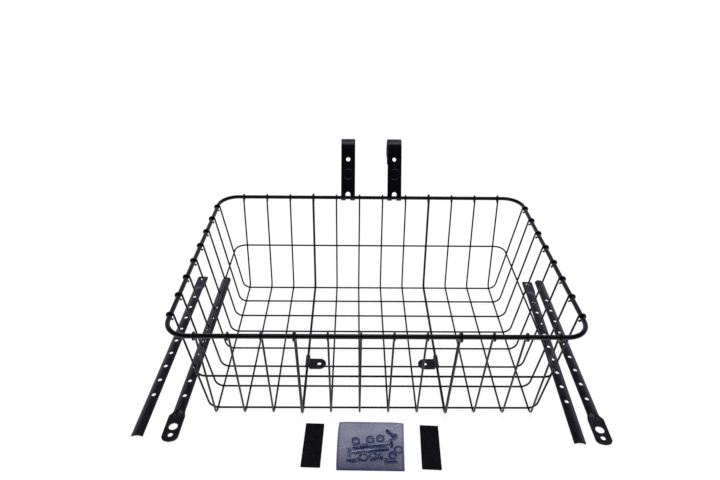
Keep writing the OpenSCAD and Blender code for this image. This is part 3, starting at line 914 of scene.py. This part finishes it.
# Plain is the share of the length that has no thread, and cover the half width of film over the head
Bolt = namedtuple("Bolt", "d length flats head plain pitch cover")
LONG_BOLT = Bolt(6 * MM, 43 * MM, 10 * MM, 4 * MM, 0.6, 1 * MM, 5.4 * MM)
SHORT_BOLT = Bolt(5 * MM, 12 * MM, 8 * MM, 3.5 * MM, 0.1, 0.8 * MM, 4.3 * MM)
NUT_FLATS, NUT_H, NUT_BORE_R, NUT_COVER = 10 * MM, 5 * MM, 3 * MM, 5.4 * MM
WASHER_INNER, WASHER_OUTER, WASHER_H, WASHER_EDGE = 3.2 * MM, 5.5 * MM, 1.2 * MM, 0.12 * MM
HEXAGON_SIDES = 48


def hexagon_wall(turn, flats):
    """How far a hexagon's side is from its middle, in a direction."""
    return flats / 2 / math.cos((turn + math.pi / 6) % (math.pi / 3) - math.pi / 6)


def hexagon_head(flats, height):
    """A hexagon prism along +X whose outer face has a turned chamfer."""
    corner = flats / math.sqrt(3)
    rows = ((0, 0.86), (0.12, 0.95), (0.22, 1.2), (1, 1.2))
    verts = []
    for x, reach in rows:
        for turn in turns(HEXAGON_SIDES):
            r = min(hexagon_wall(turn, flats), corner, flats / 2 * reach)
            verts.append(Vector((x * height, r * math.cos(turn), r * math.sin(turn))))
    return verts, ring_faces(len(rows), HEXAGON_SIDES, closed=False)


def threaded_rod(start, plain, end, r, pitch):
    """A shank along +X: plain, then with rolled threads, then a chamfered point."""
    deep = 0.54 * pitch
    profile = [(start, 0), (start, r * 0.97), (start + plain, r * 0.97)]
    x = start + plain
    while x + pitch < end - pitch:
        profile += [(x + 0.12 * pitch, r - deep), (x + 0.38 * pitch, r),
                    (x + 0.62 * pitch, r), (x + 0.88 * pitch, r - deep)]
        x += pitch
    profile += [(x + 0.3 * pitch, r - deep), (end, r - deep * 1.4), (end, 0)]
    return lathe(profile, 24)


def in_bag(x, y, turn, z):
    """The matrix that lays a fastener in its place in the bag."""
    spot = Matrix.Translation((x * MM, y * MM, z)) @ Matrix.Rotation(math.radians(turn), 4, "Z")
    return placed(BAG) @ spot


def bolt(x, y, turn, size):
    """A hexagon bolt that lies on two corners of its head."""
    head, head_faces = hexagon_head(size.flats, size.head)
    roll = Matrix.Rotation(math.radians(30 + random.uniform(-4, 4)), 4, "X")
    end = size.head + size.length
    rod, rod_faces = threaded_rod(size.head * 0.9, size.length * size.plain, end, size.d / 2, size.pitch)
    move = in_bag(x, y, turn, FASTENER_Z + size.flats / 2)
    return joined((([move @ (roll @ v) for v in head], head_faces), ([move @ v for v in rod], rod_faces)))


def nut(x, y):
    """A hexagon nut lying flat, bored through, with its corners turned off at both faces."""
    turned = NUT_FLATS * 0.475
    rows = ((0.08, NUT_BORE_R), (0, NUT_BORE_R * 1.1), (0, turned), (0.12, NUT_FLATS),
            (0.88, NUT_FLATS), (1, turned), (1, NUT_BORE_R * 1.1), (0.92, NUT_BORE_R))
    move = in_bag(x, y, 0, FASTENER_Z)
    verts = []
    for z, reach in rows:
        for turn in turns(HEXAGON_SIDES):
            r = min(hexagon_wall(turn, NUT_FLATS), reach)
            verts.append(move @ Vector((r * math.cos(turn), r * math.sin(turn), z * NUT_H)))
    return verts, ring_faces(len(rows), HEXAGON_SIDES, closed=True)


def washer(x, y):
    """A flat washer with eased edges."""
    soft = WASHER_EDGE
    rows = ((WASHER_INNER, soft), (WASHER_INNER + soft, 0), (WASHER_OUTER - soft, 0), (WASHER_OUTER, soft),
            (WASHER_OUTER, WASHER_H - soft), (WASHER_OUTER - soft, WASHER_H),
            (WASHER_INNER + soft, WASHER_H), (WASHER_INNER, WASHER_H - soft))
    sides = 40
    move = in_bag(x, y, 0, FASTENER_Z)
    verts = [move @ Vector((r * math.cos(turn), r * math.sin(turn), z))
             for r, z in rows for turn in turns(sides)]
    return verts, ring_faces(len(rows), sides, closed=True)


def add_fasteners(node, pieces):
    made = new_object(node + "_plated", *joined(pieces), BAG, ZINC)
    turn_out(made)
    made.data.set_sharp_from_angle(angle=math.radians(32))
    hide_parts(node)


def add_hardware():
    add_fasteners("long_bolts", [bolt(*at, LONG_BOLT) for at in LONG_BOLTS_AT])
    add_fasteners("short_bolts", [bolt(*at, SHORT_BOLT) for at in SHORT_BOLTS_AT])
    add_fasteners("hex_nuts", [nut(*at) for at in NUTS_AT])
    add_fasteners("washers", [washer(*at) for at in WASHERS_AT])


def turned_about(x, y, at, turn):
    """Distances along and across a line that runs through a point in a direction."""
    dx, dy = x - at[0], y - at[1]
    return dx * math.cos(turn) + dy * math.sin(turn), dy * math.cos(turn) - dx * math.sin(turn)


def fastener_heights(x, y):
    """How high the fasteners stand at each point of the bag's plane, in metres."""
    high = np.zeros_like(x)
    for places, size in ((LONG_BOLTS_AT, LONG_BOLT), (SHORT_BOLTS_AT, SHORT_BOLT)):
        axis_z = FASTENER_Z + size.flats / 2
        for at_x, at_y, turn in places:
            along, across = turned_about(x, y, (at_x * MM, at_y * MM), math.radians(turn))
            for length, r in ((size.head + size.length, size.d / 2), (size.head, size.cover)):
                on = (along > 0) & (along < length) & (abs(across) < r)
                high[on] = np.maximum(high[on], axis_z + np.sqrt(np.maximum(r * r - across[on] ** 2, 0)))
    for places, r, height in ((NUTS_AT, NUT_COVER, NUT_H), (WASHERS_AT, WASHER_OUTER, WASHER_H)):
        for at_x, at_y in places:
            on = np.hypot(x - at_x * MM, y - at_y * MM) < r
            high[on] = np.maximum(high[on], FASTENER_Z + height)
    return high


FILM_COLUMNS, FILM_ROWS = 157, 133
FILM_CLEAR, FILM_SLACK = 0.35 * MM, 0.9 * MM
FILM_LOW, FILM_GAP = 0.12 * MM, 0.3 * MM
SEAM_W, SEAM_FADE, BORDER_W = 2.2 * MM, 0.6 * MM, 5 * MM
STRETCH_ROUNDS, CREASES = 1500, 26
CORNER_FOLD_AT, CORNER_FOLD_TURN = (29 * MM, 22 * MM), math.radians(52)


def stretched_film(x, y):
    """Heights of a film stretched over the fasteners and held down round its border."""
    floor = fastener_heights(x, y)
    floor[floor > 0] += FILM_CLEAR
    z = floor.copy()
    for _ in range(STRETCH_ROUNDS):
        z[1:-1, 1:-1] = (z[:-2, 1:-1] + z[2:, 1:-1] + z[1:-1, :-2] + z[1:-1, 2:]) / 4
        z = np.maximum(z, floor)
        z[0], z[-1], z[:, 0], z[:, -1] = 0, 0, 0, 0
    return z


def crease(x, y, at, turn, length, width):
    """A rounded fold, 1 high, along a line through a point."""
    along, across = turned_about(x, y, at, turn)
    return np.exp(-(across / width) ** 2) * np.exp(-(along / length) ** 2)


def film_folds(x, y):
    """Creases that fan out from the middle, a sharp fold towards the far right corner, and shallow waves."""
    folds = np.zeros_like(x)
    for _ in range(CREASES):
        at = (grain.uniform(-BAG_W / 2, BAG_W / 2), grain.uniform(-BAG_L / 2, BAG_L / 2))
        turn = math.atan2(at[1] + 4 * MM, at[0]) + grain.uniform(-0.5, 0.5)
        length, width = grain.uniform(8, 26) * MM, grain.uniform(0.6, 1.5) * MM
        folds += grain.uniform(0.25, 0.7) * MM * crease(x, y, at, turn, length, width)
    folds += 2.2 * MM * crease(x, y, CORNER_FOLD_AT, CORNER_FOLD_TURN, 9 * MM, 1.5 * MM)
    waves = np.sin(x / (7 * MM) + 1.3 * np.sin(y / (9 * MM))) * np.sin(y / (11 * MM) + 0.8)
    return folds + 0.21 * MM * waves


def film_outline(x, y):
    """Moves the film's points in its plane: the right side draws in towards the front, the left side
    bulges between its corners, and the far corners are pulled in."""
    u, v = 2 * x / BAG_W, 2 * y / BAG_L
    left, right, far = np.clip(-u, 0, 1), np.clip(u, 0, 1), np.clip(v, 0, 1)
    px = x - right * 2.4 * MM * (1 - v) / 2 - left * (1.0 - 1.5 * np.abs((v + 0.15) / 1.15) ** 3) * MM
    py = y + 0.4 * MM * v - far * 1.3 * MM * right ** 6 - far ** 8 * 0.9 * MM * left ** 10
    return px, py


def film_faces(columns, rows):
    """Faces of the upper sheet, of the lower sheet after it, and of the strip that joins their borders."""
    count = rows * columns
    faces = []
    for j in range(rows - 1):
        for i in range(columns - 1):
            a = j * columns + i
            faces.append((a, a + 1, a + 1 + columns, a + columns))
            faces.append((count + a, count + a + columns, count + a + 1 + columns, count + a + 1))
    border = list(range(columns)) + [j * columns + columns - 1 for j in range(1, rows)]
    border += [(rows - 1) * columns + i for i in range(columns - 2, -1, -1)]
    border += [j * columns for j in range(rows - 2, 0, -1)]
    faces += [(b, a, count + a, count + b) for a, b in zip(border, border[1:] + border[:1])]
    return faces


def add_bag():
    """Two films sealed at their border, the upper one draped over the fasteners."""
    across = np.linspace(-BAG_W / 2, BAG_W / 2, FILM_COLUMNS)
    x, y = np.meshgrid(across, np.linspace(-BAG_L / 2, BAG_L / 2, FILM_ROWS))
    inner = np.minimum(BAG_W / 2 - np.abs(x), BAG_L / 2 - np.abs(y))
    slack = (film_folds(x, y) + FILM_SLACK) * np.clip(inner / BORDER_W, 0, 1)
    top = np.maximum(0, stretched_film(x, y) + slack).ravel()
    px, py = (plane.ravel() for plane in film_outline(x, y))
    matrix = placed(BAG)
    verts = [matrix @ Vector((a, b, FILM_LOW + FILM_GAP + c)) for a, b, c in zip(px, py, top)]
    verts += [matrix @ Vector((a, b, FILM_LOW)) for a, b in zip(px, py)]
    bag = new_object(BAG + "_film", verts, film_faces(FILM_COLUMNS, FILM_ROWS), BAG, FILM)
    seam = np.clip(1 - (inner.ravel() - SEAM_W) / SEAM_FADE, 0, 1)
    # The under attribute marks the lower sheet, which the film material draws more opaque as painted shade
    for name, values in (("seam", np.tile(seam, 2)), ("under", np.repeat((0.0, 1.0), len(seam)))):
        bag.data.attributes.new(name, "FLOAT", "POINT").data.foreach_set("value", values)
    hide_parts(BAG)


# ---- Stage ----

TABLE_GREY, TABLE_GREY_DARK = (0.50, 0.50, 0.50), (0.495, 0.495, 0.495)
ROOM_DARK, ROOM_WALL, ROOM_SEEN = (0.040, 0.038, 0.055), (0.78, 0.74, 1.0), (0.98, 0.98, 0.98)


def add_table():
    """A plain pale floor that glows a little, as on a light table."""
    bpy.ops.mesh.primitive_plane_add(size=60, location=(0, 0, 0))
    floor = bpy.context.object
    floor.name = "floor"
    n = Nodes("light_table")
    n.link("Base Color", n.ramp(n.noise(1.5, 2), ((0.3, TABLE_GREY), (0.7, TABLE_GREY_DARK))))
    n.fix(Roughness=0.9, Specular_IOR_Level=0.1, Emission_Color=(1, 1, 0.99, 1), Emission_Strength=0.87)
    floor.data.materials.append(n.material)


def add_lamp():
    """A large soft lamp overhead."""
    sun = bpy.data.lights.new("overhead", "SUN")
    sun.energy = 0.7
    sun.angle = math.radians(40)
    sun.color = (0.90, 0.91, 1.0)
    lamp = bpy.data.objects.new("overhead", sun)
    lamp.rotation_euler = (math.radians(-6), math.radians(4), 0)
    bpy.context.scene.collection.objects.link(lamp)


def add_room():
    """A dark room with a pale wall low behind the table. The camera sees plain pale instead."""
    world = bpy.data.worlds.new("studio")
    bpy.context.scene.world = world
    world.use_nodes = True
    tree = world.node_tree
    direction = tree.nodes.new("ShaderNodeTexCoord")
    split = tree.nodes.new("ShaderNodeSeparateXYZ")
    tree.links.new(direction.outputs["Generated"], split.inputs[0])

    def share(axis, low, high):
        made = tree.nodes.new("ShaderNodeMapRange")
        made.interpolation_type = "SMOOTHSTEP"
        made.inputs["From Min"].default_value = low
        made.inputs["From Max"].default_value = high
        tree.links.new(split.outputs[axis], made.inputs["Value"])
        return made.outputs[0]

    wall = tree.nodes.new("ShaderNodeMath")
    wall.operation = "MULTIPLY"
    tree.links.new(share("Y", -0.1, 0.75), wall.inputs[0])
    tree.links.new(share("Z", 0.74, 0.50), wall.inputs[1])
    tones = tree.nodes.new("ShaderNodeValToRGB")
    tones.color_ramp.elements[0].color = (*ROOM_DARK, 1)
    tones.color_ramp.elements[1].color = (*ROOM_WALL, 1)
    tree.links.new(wall.outputs[0], tones.inputs[0])
    pale = tree.nodes.new("ShaderNodeMix")
    pale.data_type = "RGBA"
    sockets = {s.identifier: s for s in pale.inputs}
    sockets["B_Color"].default_value = (*ROOM_SEEN, 1)
    seen = tree.nodes.new("ShaderNodeLightPath")
    tree.links.new(seen.outputs["Is Camera Ray"], sockets["Factor_Float"])
    tree.links.new(tones.outputs["Color"], sockets["A_Color"])
    result = next(s for s in pale.outputs if s.identifier == "Result_Color")
    tree.links.new(result, tree.nodes["Background"].inputs["Color"])


def add_camera():
    """A wide lens in front of and above the basket, as in a catalogue view."""
    data = bpy.data.cameras.new("camera")
    data.lens = 27.9
    data.sensor_width = 36
    camera = bpy.data.objects.new("camera", data)
    camera.location = (-0.02691, -0.59759, 0.54508)
    camera.rotation_euler = [math.radians(a) for a in (57.912, -0.62, -0.354)]
    bpy.context.scene.collection.objects.link(camera)
    bpy.context.scene.camera = camera
    bpy.context.scene.view_settings.view_transform = "Standard"


add_camera()
add_table()
add_lamp()
add_room()
add_cross_wires()
add_long_wires()
add_rings()
add_weld_beads()
add_leg_tab("leg_tab_left", CROSS_X[HEAVY_WIRES[0]], -1)
add_leg_tab("leg_tab_right", CROSS_X[HEAVY_WIRES[1]], 1)
add_clamp("clamp_left", -1, 0)
add_clamp("clamp_right", 1, LOOP_TWIST)
add_upper_leg("upper_leg_left")
add_upper_leg("upper_leg_right")
add_lower_leg("lower_leg_left", -1)
add_lower_leg("lower_leg_right", 1)
add_bar_pad("bar_pad_left")
add_bar_pad("bar_pad_right")
add_hardware()
add_bag()

bpy.context.view_layer.update()
